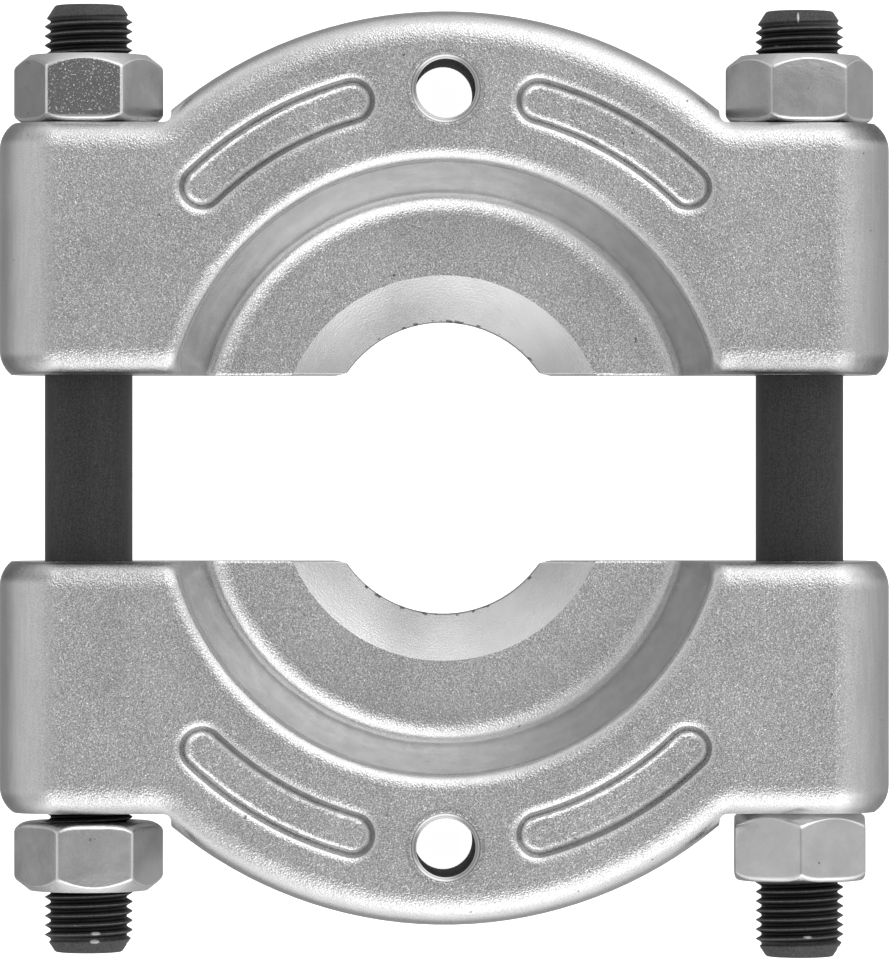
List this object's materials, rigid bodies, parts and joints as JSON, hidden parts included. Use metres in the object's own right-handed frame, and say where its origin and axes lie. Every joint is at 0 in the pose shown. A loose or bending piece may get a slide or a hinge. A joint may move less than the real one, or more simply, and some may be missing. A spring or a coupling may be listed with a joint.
{
  "type": "bearing separator",
  "caption": "Split puller plate for bearings: forged half-yokes with a bevelled knife-edge opening and a stepped recess, drawn together by hexagon nuts on threaded studs.",
  "frame": {"origin": "middle of the footprint on the ground back face, which lies on the bench", "axes": "+X across the studs to the right of the picture, +Y along the studs to its top, +Z out of the bevelled front face"},
  "size_m": [0.1418, 0.1516, 0.026],
  "materials": {
    "forged_steel": "shot-blasted forging with a thin silver plating, satin",
    "nut_steel": "plated, satin",
    "black_steel": "black oxide, satin"
  },
  "bodies": {
    "lower_yoke": {"lower_yoke": "forged_steel"},
    "upper_yoke": {"upper_yoke": "forged_steel"},
    "left_stud": {"left_stud": "black_steel"},
    "right_stud": {"right_stud": "black_steel"},
    "upper_left_nut": {"upper_left_nut": "nut_steel"},
    "upper_right_nut": {"upper_right_nut": "nut_steel"},
    "lower_left_nut": {"lower_left_nut": "nut_steel"},
    "lower_right_nut": {"lower_right_nut": "nut_steel"}
  },
  "joints": [
    {"name": "yoke_travel", "type": "slide", "parent": "lower_yoke", "child": "upper_yoke", "axis": [0, 1, 0], "range_m": [-0.02955, 0.013]},
    {"name": "left_stud_travel", "type": "slide", "parent": "lower_yoke", "child": "left_stud", "axis": [0, 1, 0], "range_m": [-0.01477, 0.0065]},
    {"name": "right_stud_travel", "type": "slide", "parent": "lower_yoke", "child": "right_stud", "axis": [0, 1, 0], "range_m": [-0.01477, 0.0065]},
    {"name": "upper_left_nut_turn", "type": "hinge", "parent": "upper_yoke", "child": "upper_left_nut", "pos_m": [-0.0567, 0.06232, 0.013], "axis": [0, 1, 0], "range_deg": [-3546, 1560]},
    {"name": "upper_right_nut_turn", "type": "hinge", "parent": "upper_yoke", "child": "upper_right_nut", "pos_m": [0.0567, 0.06232, 0.013], "axis": [0, 1, 0], "range_deg": [-3546, 1560]},
    {"name": "lower_left_nut_turn", "type": "hinge", "parent": "lower_yoke", "child": "lower_left_nut", "pos_m": [-0.0567, -0.05962, 0.013], "axis": [0, 1, 0], "range_deg": [-1560, 3546]},
    {"name": "lower_right_nut_turn", "type": "hinge", "parent": "lower_yoke", "child": "lower_right_nut", "pos_m": [0.0567, -0.05813, 0.013], "axis": [0, 1, 0], "range_deg": [-1560, 3546]}
  ],
  "couplings": [
    {"joint": "left_stud_travel", "follows": "yoke_travel", "ratio": 0.5},
    {"joint": "right_stud_travel", "follows": "yoke_travel", "ratio": 0.5},
    {"joint": "upper_left_nut_turn", "follows": "yoke_travel", "rad_per_m": 2094.4},
    {"joint": "upper_right_nut_turn", "follows": "yoke_travel", "rad_per_m": 2094.4},
    {"joint": "lower_left_nut_turn", "follows": "yoke_travel", "rad_per_m": -2094.4},
    {"joint": "lower_right_nut_turn", "follows": "yoke_travel", "rad_per_m": -2094.4}
  ]
}
